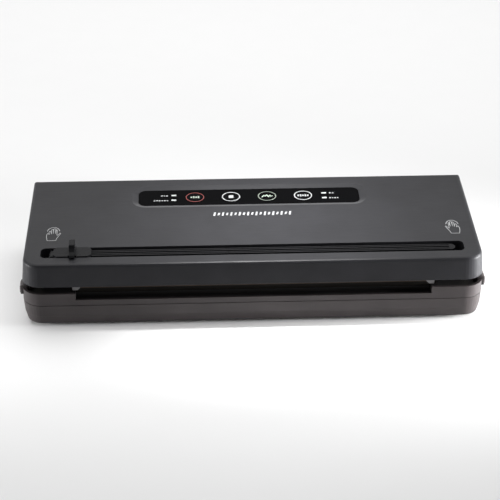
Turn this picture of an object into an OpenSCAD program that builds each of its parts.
// Countertop vacuum sealer: a low, wide base with a vacuum trough and a heating bar, a hinged lid with
// a control panel and a sliding bag cutter, two side release buttons, and the pump and electronics inside.
// Frame: X runs along the width, Y from front to back, Z up. The origin is under the middle, on the table.

/* [Body] */
// Width across the housing, without the side buttons
body_w = 392.8; // [390:0.2:396]
// Depth from the front face to the back face
body_d = 149; // [147:1:155]
// Radius of the front corners in plan
front_r = 17; // [15:1:20]
// Radius of the rear corners in plan
rear_r = 4; // [3:0.5:6]
// Wall thickness of the mouldings
wall = 2.5; // [2.2:0.1:2.6]

/* [Heights] */
// Height of the rubber feet under the base
foot_h = 2.5; // [2.2:0.1:2.8]
// Top rim of the base
rim_z = 32; // [31.8:0.1:32.3]
// Lower edge of the lid
lid_z = 38.4; // [38.2:0.1:38.8]
// Top of the lid at its front edge
front_top_z = 58.6; // [58:0.1:60]
// Slope of the lid's top, rising to the back
top_slope = 3.5; // [3:0.1:4]

/* [Bag mouth] */
// Width of the mouth, which takes a 300 mm bag
mouth_w = 302; // [300:1:304]
// Height of the lip that the bag slides over
lip_z = 26; // [25.8:0.1:26.5]

/* [Bag cutter] */
// Length of the slot in the lid's top
slot_l = 360; // [358:1:364]
// Width of the slot
slot_w = 15.7; // [15.5:0.1:16.5]
// Width of the rail that the carriage runs on
rail_w = 8.6; // [8.4:0.1:8.8]
// Length of the sliding carriage
carriage_l = 32; // [30:1:34]
// Height of the carriage's finger grip above the lid
grip_h = 9.6; // [8:0.1:10.5]

/* [Control panel] */
// Length of the gloss panel
panel_l = 198; // [196:1:202]
// Height of the gloss panel
panel_h = 27; // [26:0.5:28]
// Spacing of the buttons
button_pitch = 32.4; // [32:0.1:33]
// Radius of a button
button_r = 8.6; // [8.2:0.1:8.8]

/* [Side buttons] */
// How far a side button stands out of the side
latch_proud = 2.4; // [2.2:0.1:2.8]
// Length of a side button
latch_l = 12; // [10:0.5:12]

/* [Hidden] */

$fn = 48;
eps = 0.02;
side_x = body_w / 2;
front_y = -body_d / 2;
back_y = body_d / 2;
bottom_z = foot_h;

charcoal = [0.33, 0.33, 0.345];
graphite = [0.24, 0.235, 0.24];
black = [0.1, 0.1, 0.105];
foam = [0.17, 0.17, 0.17];
steel = [0.72, 0.72, 0.74];
copper = [0.75, 0.45, 0.25];
green = [0.1, 0.32, 0.16];

// Base
crease_z = 21.2;
crease_h = 0.7;
crease_d = 0.6;
floor_z = bottom_z + wall;
deck_gap = 0.3;
deck_z = 31;
deck_t = 4;
deck_low = deck_z - deck_t;
raised_z = 36.4;
raised_y = [2, 66];
raised_x = 187;
apron_z = 25.6;
foot_r = 8;
foot_spots = [for (x = [-165, 165], y = [-52, 52]) [x, y]];
front_screws = [for (x = [-138, 0, 138]) [x, -50]];
rear_screws = [for (x = [-178, 0, 178]) [x, 57]];
post_r = 3.5;

// Heating bar and gaskets
heater_y = -62;
heater_w = 8;
heater_l = 312;
heater_z = 34;
wire_x = 151;
chamber_y = -30;
trough_l = 300;
trough_w = 18;
trough_z = 20;
gasket_l = 344;
gasket_w = 42;
gasket_band = 8;
groove_gap = 0.3;
seal_plane_z = 35;

// Vacuum parts
intake_x = 80;
pump_y = 32;
pump_z = 19;
motor_r = 12.2;
motor_x = [-22, 30];
pump_x = [33, 66];
valve_x = 118;

// Electrics
board_at = [-121, 27];
board_size = [84, 42];
board_z = 11.5;
inlet_x = -120;
inlet_z = 17;
inlet_face = back_y - 0.3;
pin_pitch = 8.6;
pin_l = 9;
switch_x = 181;
switch_y = -24;

// Hinge
hinge_y = back_y - 4.2;
hinge_z = 39.4;
hinge_pin_r = 1.5;
hinge_bore_r = 1.55;
knuckle_r = 3.8;
hinge_x = 130;
knuckle_half = 2.7;
ear_span = [3, 8];
hinge_bay = 9.2;
bay_y = 66.2;

// Side buttons, drawn for the right side and mirrored for the left
latch_y = -56;
slide_z = [24.9, 26.7];
slide_x = [173, 193];
window_x = [179.6, 187.2];
hook_x = [180.5, 183.5];
hook_tip_z = 27.1;
latch_low_z = 26.2;
latch_top_z = 34.6;
spring_z = 24.2;
spring_r = 2.1;
spring_wire = 0.35;
spring_x = [161.6, 172.9];

// Lid
liner_z = lid_z + 0.2;
liner_t = 2;
liner_gap = 0.4;
lid_inset = wall + 1.2;
hook_flange_z = [liner_z + liner_t + 0.1, liner_z + liner_t + 1.8];
stop_y = [-70.1, -67.9];
pad_top = liner_z + 3.6;
groove_top = liner_z + 1.6;
lid_screw_side = [[170, -65.5], [182, 4], [60, 4], [60, 62], [182, 60]];
lid_screw_spots = [for (s = [-1, 1], p = lid_screw_side) [s * p[0], p[1]]];

// Bag cutter, in the frame of the lid's top: u runs up the slope from the front edge, w out of the surface
slot_u = 21.9;
slot_depth = 9;
slot_side = 2.5;
slot_r = 4.5;
rail_x = [-171.5, 172.5];
rail_top = -0.7;
rail_t = 3.4;
rail_slit = 1.6;
rail_pin_r = 1.2;
rail_barrel_r = 2;
rail_pin_w = -3.6;
carriage_x = -153.2;
carriage_w = 14.6;
lip_gap = 0.15;
plate_w = 0.9;

// Control panel, in the same frame
panel_u = 114.8;
panel_r = 7;
panel_drop = 1.5;
panel_t = 1.8;
bevel_w = 5;
block_w = -6.6;
well_floor_w = -5.6;
board_w = -12.3;
board_t = 1.6;
button_x = [for (i = [-1.5 : 1.5]) i * button_pitch];
lens_spots = [for (x = [-67.5, 67.5], v = [-4.2, 4.4]) [x, v]];
board_posts = [for (x = [-73, 73], v = [-9.5, 9.5]) [x, v]];

function top_z(y) = front_top_z + (y - front_y) * tan(top_slope);

// ---------- shared shapes ----------

// The housing's outline in plan, with round corners
module plan(inset = 0) {
    w = side_x - inset;
    d = back_y - inset;
    f = max(front_r - inset, 1);
    b = max(rear_r - inset, 1);
    for (s = [-1, 1]) {
        translate([s * (w - f), f - d]) circle(f);
        translate([s * (w - b), d - b]) circle(b);
    }
    translate([-w, f - d]) square([2 * w, 2 * d - f - b]);
    translate([f - w, -d]) square([2 * (w - f), 2 * d - b]);
    translate([b - w, f - d]) square([2 * (w - b), 2 * d - f]);
}

module rrect(l, h, r) {
    for (sx = [-1, 1], sy = [-1, 1])
        translate([sx * (l / 2 - r), sy * (h / 2 - r)]) circle(r);
    square([l, h - 2 * r], center = true);
    square([l - 2 * r, h], center = true);
}

module stadium(l, h) {
    for (s = [-1, 1])
        translate([s * (l - h) / 2, 0]) circle(h / 2);
    square([l - h, h], center = true);
}

module stadium_ring(l, h, band) {
    difference() {
        stadium(l, h);
        stadium(l - 2 * band, h - 2 * band);
    }
}

// A thin slice of the housing at height z
module slab(z, inset) {
    translate([0, 0, z]) linear_extrude(eps) plan(inset, $fn = 40);
}

// A thin slice parallel to the lid's sloping top
module top_slab(drop, inset) {
    multmatrix([[1, 0, 0, 0], [0, 1, 0, 0], [0, tan(top_slope), 1, top_z(0) - drop - eps], [0, 0, 0, 1]])
        linear_extrude(eps) plan(inset, $fn = 40);
}

// Places children in the frame of the lid's top
module on_top(x = 0, u = 0, w = 0) {
    translate([0, front_y, front_top_z]) rotate([top_slope, 0, 0]) translate([x, u, w]) children();
}

module box(x, y, z) {
    translate([x[0], y[0], z[0]]) cube([x[1] - x[0], y[1] - y[0], z[1] - z[0]]);
}

// A profile in the Y-Z plane, run along X
module along_x(x, points) {
    translate([x[0], 0, 0]) rotate([90, 0, 90]) linear_extrude(x[1] - x[0]) polygon(points);
}

module rod_x(x, y, z, r) {
    translate([x[0], y, z]) rotate([0, 90, 0]) cylinder(r = r, h = x[1] - x[0]);
}

module both_sides() {
    children();
    mirror([1, 0, 0]) children();
}

// A cross-recessed screw, standing on its head at z = 0
module screw(head_r, head_h, shank_r, length) {
    difference() {
        cylinder(r = head_r, h = head_h);
        for (a = [0, 90])
            rotate([0, 0, a]) translate([-head_r * 0.6, -0.4, -eps]) cube([head_r * 1.2, 0.8, head_h * 0.55]);
    }
    translate([0, 0, head_h]) cylinder(r = shank_r, h = length);
    translate([0, 0, head_h + length]) cylinder(r1 = shank_r, r2 = 0.3, h = 1.2);
}

// ---------- round tubes swept along a curve ----------

function unit(v) = v / norm(v);
function tangent(p, i) = unit(p[min(i + 1, len(p) - 1)] - p[max(i - 1, 0)]);
function frames(p, i = 0, n = [0.1, 0.2, 1], done = []) =
    i == len(p) ? done :
    let (t = tangent(p, i), flat = n - (n * t) * t, m = unit(flat))
    frames(p, i + 1, m, concat(done, [[m, cross(t, m)]]));

// A smooth curve through the points
function spline(p, per = 5) = concat(
    [for (k = [0 : len(p) - 2], j = [0 : per - 1])
        let (a = p[max(k - 1, 0)], b = p[k], c = p[k + 1], d = p[min(k + 2, len(p) - 1)], t = j / per)
        0.5 * (2 * b + (c - a) * t + (2 * a - 5 * b + 4 * c - d) * t * t
            + (3 * b - a - 3 * c + d) * t * t * t)],
    [p[len(p) - 1]]);

module tube(p, r, sides = 8) {
    f = frames(p);
    n = len(p);
    rings = [for (i = [0 : n - 1], k = [0 : sides - 1])
        p[i] + r * cos(k * 360 / sides) * f[i][0] + r * sin(k * 360 / sides) * f[i][1]];
    faces = concat(
        [[for (k = [0 : sides - 1]) k]],
        [for (i = [0 : n - 2], k = [0 : sides - 1])
            let (a = i * sides + k, b = i * sides + (k + 1) % sides)
            [a, a + sides, b + sides, b]],
        [[for (k = [sides - 1 : -1 : 0]) (n - 1) * sides + k]]);
    polyhedron(rings, faces, convexity = 8);
}

// ---------- base ----------

// Outer form of the base: an upright band, a fine groove, and a lower part that draws in to the bottom
module base_form(inset, low_z) {
    translate([0, 0, crease_z]) linear_extrude(rim_z - crease_z) plan(inset);
    translate([0, 0, crease_z - crease_h - eps]) linear_extrude(crease_h + 2 * eps) plan(inset + crease_d);
    hull() {
        slab(crease_z - crease_h - eps, inset + 0.1);
        slab(11, inset + 0.7);
        slab(7, inset + 1.85);
        slab(low_z + 1.9, inset + 2.3);
        slab(low_z + 0.6, inset + 2.8);
        slab(low_z, inset + 2.95);
    }
}

module hinge_ears() {
    both_sides() for (s = [-1, 1])
        translate([hinge_x, 0, 0]) mirror([s < 0 ? 1 : 0, 0, 0]) {
            rod_x(ear_span, hinge_y, hinge_z, knuckle_r);
            box(ear_span, [hinge_y - knuckle_r, back_y - wall / 2], [24, hinge_z]);
        }
}

module vents() {
    for (i = [0 : 9])
        translate([38 + i * 6, back_y, 16]) rotate([90, 90, 0]) linear_extrude(8 * wall, center = true)
            stadium(12, 2.4);
}

module base_shell() {
    color(graphite)
    difference() {
        union() {
            difference() {
                base_form(0, bottom_z);
                base_form(wall, floor_z);
                translate([0, 0, crease_z - 1]) linear_extrude(20) plan(wall);
            }
            hinge_ears();
            for (p = concat(front_screws, rear_screws))
                translate([p[0], p[1], floor_z - 1]) cylinder(r = 5, h = 4.5);
            for (x = [-1, 1], y = [-1, 1])
                translate([board_at[0] + x * 38, board_at[1] + y * 17, floor_z - 1])
                    cylinder(r = 3, h = board_z - floor_z + 0.9);
            box([inlet_x - 14.5, inlet_x + 14.5], [back_y - 4, back_y - 0.3], [8, 26]);
        }
        box([-mouth_w / 2, mouth_w / 2], [front_y - 1, front_y + wall + 1], [lip_z, rim_z + 1]);
        both_sides()
            box([side_x - wall - 1, side_x + 1], [latch_y - latch_l / 2 - 0.4, latch_y + latch_l / 2 + 0.4],
                [latch_low_z - 0.3, rim_z + 1]);
        rod_x([-hinge_x - 12, hinge_x + 12], hinge_y, hinge_z, hinge_bore_r);
        for (p = foot_spots)
            translate([p[0], p[1], bottom_z - 1]) cylinder(r = foot_r + 0.1, h = 2);
        for (p = concat(front_screws, rear_screws)) {
            translate([p[0], p[1], 0]) cylinder(r = 3.4, h = 5.6);
            translate([p[0], p[1], 0]) cylinder(r = 1.6, h = 12);
        }
        for (x = [-1, 1], y = [-1, 1])
            translate([board_at[0] + x * 38, board_at[1] + y * 17, floor_z]) cylinder(r = 1.1, h = 12);
        translate([0, -6, bottom_z - 1]) linear_extrude(1.4) rrect(62, 30, 2);
        vents();
        translate([inlet_x, back_y + 1, inlet_z]) rotate([90, 0, 0]) linear_extrude(8) rrect(20.4, 12.4, 3);
        translate([inlet_x, back_y + 1, inlet_z]) rotate([90, 0, 0]) linear_extrude(3.3) rrect(24.4, 15.4, 3);
    }
}

// Rails under the deck that carry a side button's slide, and the post behind its spring
module latch_guides() {
    for (s = [-1, 1])
        translate([0, latch_y, 0]) mirror([0, s < 0 ? 1 : 0, 0]) {
            box([175.6, 186], [6.3, 8.8], [23.2, deck_low + 1]);
            box([175.6, 186], [5.1, 6.4], [23.2, 24.6]);
        }
    box([159, 161.3], [latch_y - 4, latch_y + 4], [21, deck_low + 1]);
}

module base_deck() {
    color(black)
    difference() {
        union() {
            difference() {
                union() {
                    translate([0, 0, deck_low]) linear_extrude(deck_t) plan(wall + deck_gap);
                    translate([0, (raised_y[0] + raised_y[1]) / 2, deck_low])
                        linear_extrude(raised_z - deck_low) rrect(2 * raised_x, raised_y[1] - raised_y[0], 6);
                }
                box([wall - raised_x, raised_x - wall], [raised_y[0] + wall, raised_y[1] - wall],
                    [10, raised_z - wall]);
            }
            box([-154, 154], [front_y + wall + deck_gap, heater_y + 5], [23.4, deck_z - 1]);
            translate([0, chamber_y, trough_z - 2]) linear_extrude(deck_z - trough_z)
                stadium(trough_l + 5, trough_w + 5);
            for (p = front_screws)
                translate([p[0], p[1], 9.1]) cylinder(r = post_r, h = deck_z - 11);
            for (p = rear_screws)
                translate([p[0], p[1], 9.1]) cylinder(r = post_r, h = raised_z - 10.5);
            both_sides() latch_guides();
        }
        box([-mouth_w / 2, mouth_w / 2], [front_y, heater_y - heater_w / 2 - 0.4], [apron_z, deck_z + 1]);
        box([-heater_l / 2 - 0.2, heater_l / 2 + 0.2],
            [heater_y - heater_w / 2 - 0.5, heater_y + heater_w / 2 + 0.5], [29, 40]);
        translate([0, chamber_y, trough_z]) linear_extrude(20) stadium(trough_l, trough_w);
        translate([0, chamber_y, deck_z - 2]) linear_extrude(5)
            stadium_ring(gasket_l + 2 * groove_gap, gasket_w + 2 * groove_gap, gasket_band + 2 * groove_gap);
        translate([intake_x, chamber_y, 10]) cylinder(r = 2.7, h = trough_z);
        both_sides() {
            box([177.3, 184.6], [latch_y - 5, latch_y + 5], [20, 40]);
            box([186.3, side_x], [latch_y - 9, latch_y + 9], [20, 40]);
            translate([wire_x - 0.2, heater_y, 20]) cylinder(r = 1.6, h = 20);
            box([hinge_x - hinge_bay, hinge_x + hinge_bay], [bay_y, 80], [20, 40]);
        }
        translate([switch_x, switch_y, 20]) cylinder(r = 1.75, h = 20);
        for (p = front_screws)
            translate([p[0], p[1], 9]) cylinder(r = 1.3, h = 14);
        for (p = rear_screws)
            translate([p[0], p[1], 9]) cylinder(r = 1.3, h = 14);
    }
}

module rubber_feet() {
    color(black) for (p = foot_spots)
        translate([p[0], p[1], 0]) {
            cylinder(r1 = foot_r - 0.8, r2 = foot_r, h = 0.8);
            translate([0, 0, 0.8]) cylinder(r = foot_r, h = bottom_z + 0.15);
        }
}

module base_screws() {
    color(steel) for (p = concat(front_screws, rear_screws))
        translate([p[0], p[1], 3.2]) screw(3.1, 2.3, 1.25, 13);
}

module rating_plate() {
    color([0.55, 0.56, 0.58]) translate([0, -6, bottom_z + 0.05]) linear_extrude(0.3) rrect(61, 29, 1.6);
}

module lower_gasket() {
    color(foam) translate([0, chamber_y, 0]) {
        translate([0, 0, deck_z - 1.95]) linear_extrude(4.75) stadium_ring(gasket_l, gasket_w, gasket_band);
        translate([0, 0, deck_z + 2.7]) linear_extrude(seal_plane_z - 0.05 - deck_z - 2.7)
            stadium_ring(gasket_l - 1.6, gasket_w - 1.6, gasket_band - 1.6);
    }
}

module heater_bar() {
    half = heater_w / 2;
    color([0.1, 0.09, 0.085])
    difference() {
        along_x([-heater_l / 2, heater_l / 2], [
            [heater_y - half, 29.05], [heater_y + half, 29.05], [heater_y + half, heater_z - 0.5],
            [heater_y + half - 0.5, heater_z], [heater_y - half + 0.5, heater_z],
            [heater_y - half, heater_z - 0.5]
        ]);
        both_sides() box([wire_x - 0.6, wire_x + 0.2], [heater_y - 1.3, heater_y + 1.3], [28, 40]);
    }
}

module heating_element() {
    color(copper) {
        box([-wire_x, wire_x], [heater_y - 1, heater_y + 1], [heater_z + 0.03, heater_z + 0.18]);
        both_sides() box([wire_x - 0.4, wire_x], [heater_y - 1, heater_y + 1], [18, heater_z + 0.1]);
    }
}

module ptfe_tape() {
    color([0.5, 0.34, 0.2])
    difference() {
        box([-wire_x - 3, wire_x + 3], [heater_y - heater_w / 2 - 0.25, heater_y + heater_w / 2 + 0.25],
            [heater_z - 0.8, heater_z + 0.4]);
        box([-200, 200], [heater_y - heater_w / 2 - 0.08, heater_y + heater_w / 2 + 0.08],
            [30, heater_z + 0.23]);
    }
}

module heater_terminals() {
    color(steel) both_sides() difference() {
        box([wire_x - 4, wire_x + 3.4], [heater_y - 4, heater_y + 4], [16, 22.6]);
        box([wire_x - 0.45, wire_x + 0.05], [heater_y - 1.1, heater_y + 1.1], [17.5, 30]);
        translate([wire_x - 5, heater_y, 18.4]) rotate([0, 90, 0]) cylinder(r = 1.1, h = 3.6);
    }
}

module intake_nozzle() {
    color(black) translate([intake_x, chamber_y, 0])
    difference() {
        union() {
            translate([-3.6, -3.6, 8.5]) cube([7.2, 7.2, 8]);
            translate([0, 0, 16.2]) cylinder(r = 7, h = 1.7);
            translate([0, 0, 17.8]) cylinder(r = 2.6, h = 2);
            translate([0, 3.5, 12]) rotate([-90, 0, 0]) cylinder(r = 2.5, h = 9.5);
        }
        translate([0, 0, 10]) cylinder(r = 1.7, h = 12);
        translate([0, 0, 12]) rotate([-90, 0, 0]) cylinder(r = 1.2, h = 14);
    }
}

module intake_filter() {
    color([0.4, 0.4, 0.42]) translate([intake_x, chamber_y, trough_z + 0.05])
    difference() {
        union() {
            cylinder(r = 7.5, h = 1.2);
            cylinder(r = 5, h = 2.4);
        }
        for (a = [0 : 60 : 300])
            rotate([0, 0, a]) translate([2.8, 0, -1]) cylinder(r = 0.8, h = 5);
        translate([0, 0, -1]) cylinder(r = 0.9, h = 5);
    }
}

module hose(points, r = 4, bore = 2.6) {
    p = spline(points, 5);
    n = len(p);
    q = concat([p[0] - 2 * tangent(p, 0)], [for (i = [1 : n - 2]) p[i]], [p[n - 1] + 2 * tangent(p, n - 1)]);
    difference() {
        tube(p, r, 12);
        tube(q, bore, 12);
    }
}

module vacuum_hose() {
    color([0.78, 0.78, 0.76]) hose([
        [intake_x, chamber_y + 6, 12], [intake_x, chamber_y + 11, 12], [intake_x, chamber_y + 16, 12],
        [intake_x + 3, -4, 12.5], [intake_x + 10, 6, 16], [intake_x + 13, 15, 20],
        [pump_x[1] + 24, pump_y - 8.5, pump_z + 3.6], [pump_x[1] + 17, pump_y - 6, pump_z + 4],
        [pump_x[1] + 11, pump_y - 6, pump_z + 4], [pump_x[1] + 5, pump_y - 6, pump_z + 4]
    ]);
}

module valve_hose() {
    color([0.78, 0.78, 0.76]) hose([
        [pump_x[1] + 5, pump_y + 7, pump_z + 4], [pump_x[1] + 9, pump_y + 7, pump_z + 4],
        [pump_x[1] + 13, pump_y + 7, pump_z + 4], [pump_x[1] + 19, pump_y + 6, pump_z + 3],
        [valve_x - 27, pump_y + 1.6, pump_z - 1.2], [valve_x - 21, pump_y, pump_z - 3],
        [valve_x - 17, pump_y, pump_z - 3], [valve_x - 13, pump_y, pump_z - 3],
        [valve_x - 9.8, pump_y, pump_z - 3]
    ]);
}

module pump_motor() {
    color(steel) translate([0, pump_y, pump_z]) rotate([0, 90, 0])
    difference() {
        union() {
            translate([0, 0, motor_x[0] + 3]) cylinder(r = motor_r, h = motor_x[1] - motor_x[0] - 3);
            translate([0, 0, motor_x[0]]) cylinder(r = motor_r - 1.2, h = 3.1);
            translate([0, 0, motor_x[1] - 0.1]) cylinder(r = 4, h = 1.6);
            for (s = [-1, 1])
                translate([-1.2, s * 7 - 0.4, motor_x[0] - 4.5]) cube([2.4, 0.8, 4.6]);
        }
        translate([0, 0, motor_x[1] - 14]) cylinder(r = 1.56, h = 20);
        for (a = [45 : 90 : 315])
            rotate([0, 0, a]) translate([motor_r - 2.6, 0, motor_x[0] - 1]) cylinder(r = 0.9, h = 3);
    }
}

module motor_bracket() {
    color(steel) difference() {
        union() {
            along_x([-8, 20], [
                [pump_y - 20, floor_z + 0.05], [pump_y + 20, floor_z + 0.05], [pump_y + 20, floor_z + 1.6],
                [pump_y + 14.4, floor_z + 1.6], [pump_y + 14.4, pump_z], [pump_y + 12.9, pump_z],
                [pump_y + 12.9, floor_z + 1.4], [pump_y - 12.9, floor_z + 1.4], [pump_y - 12.9, pump_z],
                [pump_y - 14.4, pump_z], [pump_y - 14.4, floor_z + 1.6], [pump_y - 20, floor_z + 1.6]
            ]);
            rod_x([-8, 20], pump_y, pump_z, motor_r + 1.8);
        }
        rod_x([-9, 21], pump_y, pump_z, motor_r + 0.4);
        for (x = [-2, 14], s = [-1, 1])
            translate([x, pump_y + s * 17.2, 0]) cylinder(r = 1.6, h = 20);
    }
}

module pump_head() {
    color([0.2, 0.2, 0.22]) difference() {
        union() {
            box(pump_x, [pump_y - 13, pump_y + 13], [floor_z + 0.1, pump_z + 8]);
            for (s = [-1, 1])
                translate([50, pump_y + s * 6.6, pump_z + 7.9]) cylinder(r = 5.6, h = 5.4);
            for (y = [-6, 7])
                rod_x([pump_x[1] - 1, pump_x[1] + 12], pump_y + y, pump_z + 4, 2.5);
        }
        rod_x([pump_x[0] + 3, pump_x[1] - 4], pump_y, pump_z, 8.2);
        rod_x([pump_x[0] - 1, pump_x[0] + 4], pump_y, pump_z, 2.2);
        for (y = [-6, 7])
            rod_x([pump_x[1] - 3.5, pump_x[1] + 13], pump_y + y, pump_z + 4, 1.5);
        rod_x([pump_x[0] - 1, pump_x[0] + 1.9], pump_y, pump_z, 5);
    }
}

// Output shaft with the eccentric that drives the pump's diaphragms, and its counterweight
module motor_shaft() {
    color(steel) {
        rod_x([motor_x[1] - 12, pump_x[1] - 6], pump_y, pump_z, 1.5);
        rod_x([44, 54], pump_y + 1.6, pump_z, 4.6);
        rod_x([39.5, 42.5], pump_y - 0.8, pump_z, 6.6);
    }
}

module release_valve() {
    color([0.82, 0.8, 0.72]) difference() {
        union() {
            box([valve_x - 9, valve_x + 9], [pump_y - 9, pump_y + 9], [floor_z + 0.1, pump_z - 9]);
            translate([valve_x, pump_y, pump_z - 9.1]) cylinder(r = 8, h = 15);
            translate([valve_x, pump_y, pump_z + 5.8]) cylinder(r = 3, h = 3);
            rod_x([valve_x - 17, valve_x - 5], pump_y, pump_z - 3, 2.5);
        }
        rod_x([valve_x - 18, valve_x - 8], pump_y, pump_z - 3, 1.5);
        translate([valve_x, pump_y, pump_z + 4]) cylinder(r = 1.2, h = 8);
    }
}

module power_board() {
    color(green) difference() {
        translate([board_at[0], board_at[1], board_z]) linear_extrude(1.6)
            rrect(board_size[0], board_size[1], 1.5);
        for (x = [-1, 1], y = [-1, 1])
            translate([board_at[0] + x * 38, board_at[1] + y * 17, 0]) cylinder(r = 1.5, h = 30);
    }
}

module transformer() {
    x = board_at[0] - 18;
    y = board_at[1];
    z = board_z + 1.7;
    color([0.32, 0.3, 0.3]) {
        box([x - 15, x + 15], [y - 7, y + 7], [z, z + 18]);
        box([x - 9, x + 9], [y - 12.5, y + 12.5], [z + 2.5, z + 15.5]);
    }
}

module board_components() {
    x = board_at[0];
    y = board_at[1];
    z = board_z + 1.65;
    color([0.16, 0.2, 0.36]) {
        translate([x + 8, y - 9, z]) cylinder(r = 5, h = 15);
        translate([x + 20, y - 9, z]) cylinder(r = 4, h = 12);
    }
    color([0.12, 0.12, 0.13]) {
        box([x + 4, x + 20], [y + 4, y + 14], [z, z + 13]);
        box([x + 25, x + 35], [y - 6, y + 8], [z, z + 8]);
        box([x + 24, x + 32], [y + 11, y + 18], [z, z + 7]);
        box([x - 30, x - 10], [y + 14.5, y + 19.5], [z, z + 6]);
    }
}

module board_screws() {
    color(steel) for (x = [-1, 1], y = [-1, 1])
        translate([board_at[0] + x * 38, board_at[1] + y * 17, board_z + 3.35])
            mirror([0, 0, 1]) screw(2.6, 1.7, 1.05, 4.5);
}

// Figure-eight mains socket, facing out of the back
module power_inlet() {
    color(black) difference() {
        union() {
            translate([inlet_x, inlet_face, inlet_z]) rotate([90, 0, 0]) linear_extrude(1.9)
                rrect(24, 15, 2.8);
            translate([inlet_x, inlet_face - 1.8, inlet_z]) rotate([90, 0, 0]) linear_extrude(15)
                rrect(20, 12, 2.8);
        }
        translate([inlet_x, inlet_face + 1, inlet_z]) rotate([90, 0, 0]) linear_extrude(14) {
            for (s = [-1, 1])
                translate([s * 3.7, 0]) circle(4.1);
            square([7.4, 6.6], center = true);
        }
        for (s = [-1, 1])
            translate([inlet_x + s * pin_pitch / 2, inlet_face - 12, inlet_z]) rotate([90, 0, 0])
                cylinder(r = 0.95, h = 20);
    }
}

module inlet_pins() {
    color(steel) for (s = [-1, 1])
        translate([inlet_x + s * pin_pitch / 2, inlet_face - 4, inlet_z]) rotate([90, 0, 0]) {
            cylinder(r = 1.2, h = pin_l - 0.05);
            cylinder(r = 0.9, h = 14);
            translate([-1.1, -0.3, 13.9]) cube([2.2, 0.6, 4]);
        }
}

module wire(points, r = 0.8) {
    tube(spline(points, 4), r, 6);
}

module mains_wiring() {
    color([0.45, 0.3, 0.2]) for (s = [-1, 1])
        wire([
            [inlet_x + s * 4.3, inlet_face - 22.2, inlet_z], [inlet_x + s * 4.6, 47.5, inlet_z + 3 + s * 1.8],
            [board_at[0] + 26 + s * 1.5, 45.5, board_z + 12 + s * 1.2],
            [board_at[0] + 28 + s * 1.5, 41.5, board_z + 9.6]
        ]);
}

module motor_wiring() {
    color([0.6, 0.12, 0.1]) for (s = [-1, 1])
        wire([
            [board_at[0] + 35.8, board_at[1] + 1 + s * 2, board_z + 6], [-76, pump_y - 4 + s * 2, board_z + 4],
            [-50, pump_y + s * 4, board_z + 6], [-34, pump_y + s * 7, pump_z],
            [motor_x[0] - 4.8, pump_y + s * 7, pump_z]
        ]);
}

module heater_wiring() {
    color([0.75, 0.72, 0.68]) for (s = [-1, 1])
        wire([
            [board_at[0] + 36.1, board_at[1] - 4.4 + s * 1.2, board_z + 5],
            [-76.5 + s, 20 + s * 1.4, board_z + 4.5], [-70 + s * 1.8, 8 + s * 0.8, 11], [s * 64 - 16, -4, 6.6],
            [s * 130, -8, 6.6], [s * 157, -30, 9], [s * 159, -50, 14], [s * 158, heater_y, 18.4],
            [s * (wire_x + 3.6), heater_y, 18.4]
        ], 0.9);
}

// Microswitch that the lid works as it closes
module lid_switch() {
    color([0.14, 0.14, 0.15]) difference() {
        box([switch_x - 5.5, switch_x + 5.5], [switch_y - 10, switch_y + 10], [17, deck_low - 0.2]);
        translate([switch_x, switch_y, 18.5]) cylinder(r = 2.6, h = 20);
    }
    color(steel) for (y = [-7, 0, 7])
        box([switch_x - 1.5, switch_x + 1.5], [switch_y + y - 0.3, switch_y + y + 0.3], [12.5, 17.2]);
}

module lid_switch_pin() {
    color([0.85, 0.84, 0.8]) translate([switch_x, switch_y, 0]) {
        translate([0, 0, 22]) cylinder(r = 1.65, h = 14);
        translate([0, 0, 36]) cylinder(r1 = 1.65, r2 = 0.9, h = 0.7);
        translate([0, 0, 22]) cylinder(r = 2.45, h = 1.6);
    }
}

module hinge_pins() {
    color(steel) both_sides()
        rod_x([hinge_x - ear_span[1] - 0.4, hinge_x + ear_span[1] + 0.4], hinge_y, hinge_z, hinge_pin_r);
}

// ---------- side release buttons ----------

module release_button() {
    half = latch_l / 2;
    out_x = side_x + latch_proud;
    difference() {
        union() {
            box(slide_x, [latch_y - 6, latch_y + 6], slide_z);
            box([slide_x[0], slide_x[0] + 1.6], [latch_y - 3.6, latch_y + 3.6], [21.6, slide_z[1]]);
            box([190.4, slide_x[1]], [latch_y - 5.4, latch_y + 5.4], [slide_z[0], latch_top_z - 0.6]);
            intersection() {
                translate([0, latch_y + half, 0]) rotate([90, 0, 0]) linear_extrude(latch_l) polygon([
                    [slide_x[1] - 0.6, latch_low_z], [out_x - 0.9, latch_low_z], [out_x, latch_low_z + 1.2],
                    [out_x, latch_top_z - 2.2], [out_x - 0.5, latch_top_z - 1],
                    [out_x - 1.6, latch_top_z - 0.3], [out_x - 3, latch_top_z], [slide_x[1] - 0.6, latch_top_z]
                ]);
                translate([0, latch_y, 20]) linear_extrude(20) polygon([
                    [180, -half], [out_x - 1.2, -half], [out_x, 1.4 - half], [out_x, half - 1.4],
                    [out_x - 1.2, half], [180, half]
                ]);
            }
        }
        box(window_x, [latch_y - 4.8, latch_y + 4.8], [20, 30]);
        for (i = [-2 : 2])
            translate([out_x - 0.35, latch_y + i * 1.8 - 0.3, latch_low_z + 1.6]) cube([2, 0.6, 4.4]);
    }
}

module latch_spring() {
    turns = 6;
    steps = 12 * turns;
    tube([for (i = [0 : steps])
        let (a = i * 360 / 12, closed = min(1, i / 10, (steps - i) / 10))
        [spring_x[0] + spring_wire + (spring_x[1] - spring_x[0] - 2 * spring_wire) * i / steps,
         latch_y + (spring_r - spring_wire) * cos(a), spring_z + (spring_r - spring_wire) * sin(a)]
    ], spring_wire, 6);
}

module right_release_button() {
    color([0.3, 0.3, 0.31]) release_button();
}
module left_release_button() {
    color([0.3, 0.3, 0.31]) mirror([1, 0, 0]) release_button();
}
module right_latch_spring() {
    color(steel) latch_spring();
}
module left_latch_spring() {
    color(steel) mirror([1, 0, 0]) latch_spring();
}

// ---------- lid ----------

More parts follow.
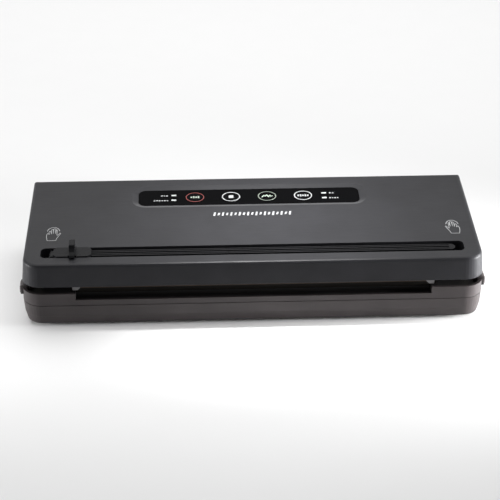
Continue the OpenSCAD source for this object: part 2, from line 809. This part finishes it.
// Outer form of the lid: sides that lean in slightly, and a rounded edge round the sloping top
module lid_form() {
    hull() {
        slab(lid_z, 0.5);
        slab(lid_z + 0.7, 0);
        top_slab(2.8, 1.7);
        top_slab(1.5, 2);
        top_slab(0.6, 2.7);
        top_slab(0.15, 3.6);
        top_slab(0, 4.6);
    }
}

// The space inside the lid
module lid_hollow() {
    intersection() {
        translate([0, 0, lid_z - 1]) linear_extrude(40) plan(lid_inset);
        on_top(0, -20, -wall - 60) translate([-side_x, 0, 0]) cube([body_w, body_d + 40, 60]);
    }
}

module lid_knuckles() {
    both_sides() {
        rod_x([hinge_x - knuckle_half, hinge_x + knuckle_half], hinge_y, hinge_z, knuckle_r);
        box([hinge_x - knuckle_half, hinge_x + knuckle_half], [hinge_y - knuckle_r, hinge_y + knuckle_r],
            [hinge_z, hinge_z + 7]);
    }
}

// Sloping sides of the control panel's well, from the panel's edge out to the lid's surface
module bevel_well() {
    h = panel_drop + 0.3;
    out = bevel_w * h / panel_drop;
    x = panel_l / 2 - panel_r;
    v = panel_h / 2 - panel_r;
    r = panel_r + 0.5;
    for (sx = [-1, 1], sv = [-1, 1])
        translate([sx * x, sv * v, 0]) cylinder(r1 = r, r2 = r + out, h = h);
    translate([-x, 0, 0]) rotate([90, 0, 90]) linear_extrude(2 * x)
        polygon([[-v - r, 0], [v + r, 0], [v + r + out, h], [-v - r - out, h]]);
    translate([0, v, 0]) rotate([90, 0, 0]) linear_extrude(2 * v)
        polygon([[-x - r, 0], [x + r, 0], [x + r + out, h], [-x - r - out, h]]);
}

module lid_cover() {
    color(charcoal)
    difference() {
        union() {
            difference() {
                lid_form();
                lid_hollow();
            }
            on_top(0, slot_u, -slot_depth - 2) linear_extrude(slot_depth + 1)
                rrect(slot_l + 2 * slot_side, slot_w + 2 * slot_side, slot_r + slot_side);
            on_top(0, panel_u, block_w) linear_extrude(-block_w - 1)
                rrect(panel_l + 12, panel_h + 12, panel_r + 6);
            for (p = board_posts)
                on_top(p[0], panel_u + p[1], board_w + 0.1) cylinder(r = 2.6, h = block_w - board_w + 0.5);
            for (p = lid_screw_spots)
                translate([p[0], p[1], pad_top + 0.2]) cylinder(r = 4, h = top_z(p[1]) - pad_top - 2);
            for (s = [-1, 1])
                translate([s * hook_x[0], latch_y, hook_flange_z[1] + 0.1])
                    cylinder(r = 3, h = top_z(latch_y) - hook_flange_z[1] - 2);
            lid_knuckles();
        }
        // slot with a rail pivot at its left end
        on_top(0, slot_u, -slot_depth) linear_extrude(slot_depth + 5) rrect(slot_l, slot_w, slot_r);
        on_top(rail_x[0], slot_u + 10, rail_pin_w) rotate([90, 0, 0]) cylinder(r = rail_pin_r + 0.05, h = 20);
        on_top(0, panel_u, -panel_drop) bevel_well();
        on_top(0, panel_u, -panel_drop - panel_t - 0.1) linear_extrude(panel_t + 0.5)
            rrect(panel_l + 0.3, panel_h + 0.3, panel_r);
        for (x = button_x) {
            on_top(x, panel_u, well_floor_w) cylinder(r = button_r + 1.4, h = 4);
            on_top(x, panel_u, -12) cylinder(r = 2.3, h = 10);
        }
        for (p = lens_spots)
            on_top(p[0], panel_u + p[1], -12) translate([-2.4, -1.4, 0]) cube([4.8, 2.8, 10]);
        for (p = board_posts)
            on_top(p[0], panel_u + p[1], board_w - 1) cylinder(r = 1, h = 6.5);
        for (p = lid_screw_spots)
            translate([p[0], p[1], 40]) cylinder(r = 1.3, h = 14);
        both_sides() {
            rod_x([hinge_x - 12, hinge_x + 12], hinge_y, hinge_z, hinge_bore_r);
            for (s = [-1, 1])
                translate([hinge_x, 0, 0]) mirror([s < 0 ? 1 : 0, 0, 0]) {
                    rod_x([knuckle_half + 0.15, ear_span[1] + 0.4], hinge_y, hinge_z, knuckle_r + 0.5);
                    box([knuckle_half + 0.15, ear_span[1] + 0.4], [hinge_y, back_y + 1],
                        [lid_z - 1, hinge_z + 3.4]);
                }
        }
    }
    color(charcoal) for (s = [-1, 1])
        on_top(0, slot_u + s * 1.6, -slot_depth - 0.5) translate([-162, -0.6, 0])
            cube([326, 1.2, slot_depth + 0.35 + rail_top - rail_t]);
}

// Hook that a side button's slide catches, clamped between the liner and the cover
module lid_hook() {
    box(hook_x, [latch_y - 4, latch_y + 4], [hook_tip_z, hook_flange_z[1]]);
    translate([0, latch_y + 4, 0]) rotate([90, 0, 0]) linear_extrude(8) polygon([
        [hook_x[0] + 0.5, hook_tip_z], [178.7, hook_tip_z + 1], [178.7, hook_tip_z + 1.8],
        [hook_x[0] + 0.5, hook_tip_z + 2.2]
    ]);
    box([hook_x[0] - 4, hook_x[1] + 2], [latch_y - 6, latch_y + 6], hook_flange_z);
}

module lid_hooks() {
    color([0.5, 0.5, 0.5]) both_sides() lid_hook();
}

// Stops at the ends of the mouth, which keep the bag straight
module bag_stops() {
    color([0.45, 0.45, 0.46]) both_sides() {
        translate([0, stop_y[1], 0]) rotate([90, 0, 0]) linear_extrude(stop_y[1] - stop_y[0]) polygon([
            [147, liner_z - 0.05], [147, 35.4], [149, 33.4], [153, 33], [153.6, 34], [153.6, liner_z - 0.05]
        ]);
        translate([150.3, (stop_y[0] + stop_y[1]) / 2, liner_z - 0.5]) cylinder(r = 0.85, h = liner_t + 0.4);
    }
}

module lid_liner() {
    color([0.14, 0.14, 0.145])
    difference() {
        union() {
            translate([0, 0, liner_z]) linear_extrude(liner_t) plan(lid_inset + liner_gap);
            translate([0, chamber_y, liner_z]) linear_extrude(pad_top - liner_z)
                stadium(gasket_l + 6, gasket_w + 6);
            box([-156.5, 156.5], [heater_y - 6, heater_y + 6], [liner_z, pad_top]);
            for (p = lid_screw_spots)
                translate([p[0], p[1], liner_z]) cylinder(r = 4.5, h = pad_top - liner_z);
        }
        translate([0, chamber_y, liner_z - 1]) linear_extrude(groove_top - liner_z + 1)
            stadium_ring(gasket_l + 2 * groove_gap, gasket_w + 2 * groove_gap, gasket_band + 2 * groove_gap);
        translate([0, chamber_y, liner_z - 1]) linear_extrude(3)
            stadium(gasket_l - 2 * gasket_band - 6, gasket_w - 2 * gasket_band - 6);
        box([-154.3, 154.3], [heater_y - 3.8, heater_y + 3.8], [liner_z - 1, groove_top]);
        for (p = lid_screw_spots) {
            translate([p[0], p[1], liner_z - 1]) cylinder(r = 3.3, h = 3.2);
            translate([p[0], p[1], liner_z - 1]) cylinder(r = 1.5, h = 8);
        }
        both_sides() {
            box([hinge_x - hinge_bay, hinge_x + hinge_bay], [bay_y, 80], [20, 50]);
            box([178.4, hook_x[1] + 0.3], [latch_y - 4.3, latch_y + 4.3], [20, 50]);
            translate([150.3, (stop_y[0] + stop_y[1]) / 2, 30]) cylinder(r = 0.95, h = 20);
        }
    }
}

module upper_gasket() {
    color(foam) translate([0, chamber_y, 0]) {
        translate([0, 0, seal_plane_z + 1.3]) linear_extrude(groove_top - 0.05 - seal_plane_z - 1.3)
            stadium_ring(gasket_l, gasket_w, gasket_band);
        translate([0, 0, seal_plane_z + 0.05]) linear_extrude(1.3)
            stadium_ring(gasket_l - 1.6, gasket_w - 1.6, gasket_band - 1.6);
    }
}

module seal_strip() {
    color([0.2, 0.2, 0.2]) along_x([-154, 154], [
        [heater_y - 3.5, groove_top - 0.05], [heater_y - 3.5, 35.4], [heater_y - 2.7, heater_z + 0.6],
        [heater_y + 2.7, heater_z + 0.6], [heater_y + 3.5, 35.4], [heater_y + 3.5, groove_top - 0.05]
    ]);
}

module lid_screws() {
    color(steel) for (p = lid_screw_spots)
        translate([p[0], p[1], liner_z + 0.3]) screw(3, 1.8, 1.25, 9);
}

module control_panel() {
    color([0.03, 0.03, 0.035]) difference() {
        on_top(0, panel_u, -panel_drop - panel_t) linear_extrude(panel_t) rrect(panel_l, panel_h, panel_r);
        for (x = button_x)
            on_top(x, panel_u, -6) cylinder(r = button_r + 0.15, h = 10);
        for (p = lens_spots)
            on_top(p[0], panel_u + p[1], -6) translate([-2.25, -1.25, 0]) cube([4.5, 2.5, 10]);
    }
}

module indicator_lenses() {
    color([0.85, 0.88, 0.86]) for (p = lens_spots)
        on_top(p[0], panel_u + p[1], -10) translate([-2.15, -1.15, 0]) cube([4.3, 2.3, 10 - panel_drop]);
}

module control_board() {
    color(green) difference() {
        on_top(0, panel_u, board_w - board_t) linear_extrude(board_t) rrect(154, 25, 1.5);
        for (p = board_posts)
            on_top(p[0], panel_u + p[1], board_w - 4) cylinder(r = 1.3, h = 8);
    }
    color([0.1, 0.1, 0.1]) {
        on_top(0, panel_u, board_w - board_t - 1.9) translate([-6, -6, 0]) cube([12, 12, 2]);
        on_top(-32, panel_u, board_w - board_t - 5.9) translate([-7, -3, 0]) cube([14, 6, 6]);
        for (p = lens_spots)
            on_top(p[0], panel_u + p[1], board_w - 0.1) translate([-1.6, -0.8, 0]) cube([3.2, 1.6, 1.2]);
    }
}

module tact_switches() {
    color([0.2, 0.2, 0.2]) for (x = button_x)
        on_top(x, panel_u, board_w + 0.05) {
            translate([-3, -3, 0]) cube([6, 6, 3]);
            cylinder(r = 1.7, h = 3.45);
        }
}

module panel_board_screws() {
    color(steel) for (p = board_posts)
        on_top(p[0], panel_u + p[1], board_w - board_t - 1.6) screw(2.2, 1.55, 0.95, 4.5);
}

module lid_wiring() {
    color([0.3, 0.3, 0.32]) for (i = [0 : 3])
        wire([
            [-35 + i * 2, 46, 47], [-35 + i * 2, 52, 45.5], [-38 + i * 2, 62, 44.5], [-40 + i * 2, 70, 44]
        ]);
}

// ---------- panel buttons ----------

module panel_button(i) {
    on_top(button_x[i], panel_u, 0) {
        translate([0, 0, -3.8]) cylinder(r = button_r, h = 2.3);
        translate([0, 0, -1.55]) cylinder(r1 = button_r, r2 = button_r - 0.3, h = 0.3);
        translate([0, 0, -4.6]) cylinder(r = button_r + 1, h = 0.9);
        translate([0, 0, -8]) cylinder(r = 2, h = 3.5);
    }
}

module seal_button() {
    color([0.06, 0.05, 0.05]) panel_button(0);
}
module stop_button() {
    color([0.06, 0.06, 0.06]) panel_button(1);
}
module pulse_button() {
    color([0.06, 0.06, 0.06]) panel_button(2);
}
module food_button() {
    color([0.06, 0.06, 0.06]) panel_button(3);
}

// ---------- bag cutter ----------

module cutter_rail() {
    color([0.16, 0.16, 0.165])
    difference() {
        union() {
            on_top(0, slot_u, rail_top - rail_t) translate([rail_x[0], -rail_w / 2, 0])
                cube([rail_x[1] - rail_x[0] - rail_w / 2, rail_w, rail_t]);
            on_top(rail_x[1] - rail_w / 2, slot_u, rail_top - rail_t) cylinder(r = rail_w / 2, h = rail_t);
            on_top(rail_x[0], slot_u + rail_w / 2, rail_pin_w) rotate([90, 0, 0])
                cylinder(r = rail_barrel_r, h = rail_w);
        }
        on_top(0, slot_u, -8) translate([rail_x[0] + 5, -rail_slit / 2, 0])
            cube([rail_x[1] - rail_x[0] - 10, rail_slit, 10]);
        for (s = [-1, 1])
            on_top(0, slot_u + s * 2.6, rail_top - 0.5) translate([rail_x[0] + 5, -0.5, 0])
                cube([rail_x[1] - rail_x[0] - 10, 1, 2]);
        on_top(rail_x[0], slot_u + 10, rail_pin_w) rotate([90, 0, 0]) cylinder(r = rail_pin_r + 0.05, h = 20);
    }
}

module rail_pin() {
    color(steel) on_top(rail_x[0], slot_u + slot_w / 2 + 1.9, rail_pin_w) rotate([90, 0, 0])
        cylinder(r = rail_pin_r, h = slot_w + 3.8);
}

module cutter_carriage() {
    half = carriage_l / 2;
    side = carriage_w / 2;
    grip_t = 4.6;
    color([0.13, 0.13, 0.135])
    difference() {
        union() {
            on_top(carriage_x, slot_u, rail_top - rail_t - lip_gap - 1.1)
                linear_extrude(plate_w + rail_t - rail_top + lip_gap + 1.1) polygon([
                    [-half, 3 - side], [3 - half, -side], [half - 3, -side], [half, 3 - side],
                    [half, side - 3], [half - 3, side], [3 - half, side], [-half, side - 3]
                ]);
            on_top(carriage_x - grip_t / 2, slot_u, 0) rotate([90, 0, 90]) linear_extrude(grip_t) polygon([
                [-6.4, 0.3], [-7.6, 0.4], [-9.8, 0.6], [-10.9, 1], [-11, 1.9], [-9.6, 3], [-6.6, 4.6],
                [-4.2, 6.6], [-3.2, grip_h - 0.3], [-2.4, grip_h], [5.6, grip_h], [6.6, grip_h - 0.5],
                [7, grip_h - 1.6], [6.8, 0.3]
            ]);
            on_top(carriage_x, slot_u, plate_w - 0.1) translate([-3.6, -side, 0]) cube([7.2, 2 * side, 0.9]);
        }
        on_top(carriage_x, slot_u, rail_top - rail_t - lip_gap) translate([-half - 1, -rail_w / 2 - 0.15, 0])
            cube([carriage_l + 2, rail_w + 0.3, rail_t + 2 * lip_gap]);
        on_top(carriage_x, slot_u, rail_top - rail_t - 3) translate([-half - 1, -2.8, 0])
            cube([carriage_l + 2, 5.6, 3.1]);
        on_top(carriage_x, slot_u, rail_top - 1.8) translate([-5.2, -0.35, 0]) cube([10.4, 0.7, 2.9]);
    }
}

module cutter_blade() {
    color(steel) on_top(carriage_x, slot_u + 0.25, rail_top) rotate([90, 0, 0]) linear_extrude(0.5) polygon([
        [-6, -2.2], [-3, -7], [3, -7], [6, -2.2], [6, -0.6], [5, -0.6], [5, 0.9],
        [-5, 0.9], [-5, -0.6], [-6, -0.6]
    ]);
}

base_shell();
base_deck();
rubber_feet();
base_screws();
rating_plate();
lower_gasket();
heater_bar();
heating_element();
ptfe_tape();
heater_terminals();
intake_nozzle();
intake_filter();
vacuum_hose();
valve_hose();
pump_motor();
motor_bracket();
pump_head();
motor_shaft();
release_valve();
power_board();
transformer();
board_components();
board_screws();
power_inlet();
inlet_pins();
mains_wiring();
motor_wiring();
heater_wiring();
lid_switch();
lid_switch_pin();
hinge_pins();
left_release_button();
left_latch_spring();
right_release_button();
right_latch_spring();
lid_cover();
lid_liner();
lid_hooks();
bag_stops();
upper_gasket();
seal_strip();
lid_screws();
control_panel();
indicator_lenses();
control_board();
tact_switches();
panel_board_screws();
lid_wiring();
seal_button();
stop_button();
pulse_button();
food_button();
cutter_rail();
rail_pin();
cutter_carriage();
cutter_blade();
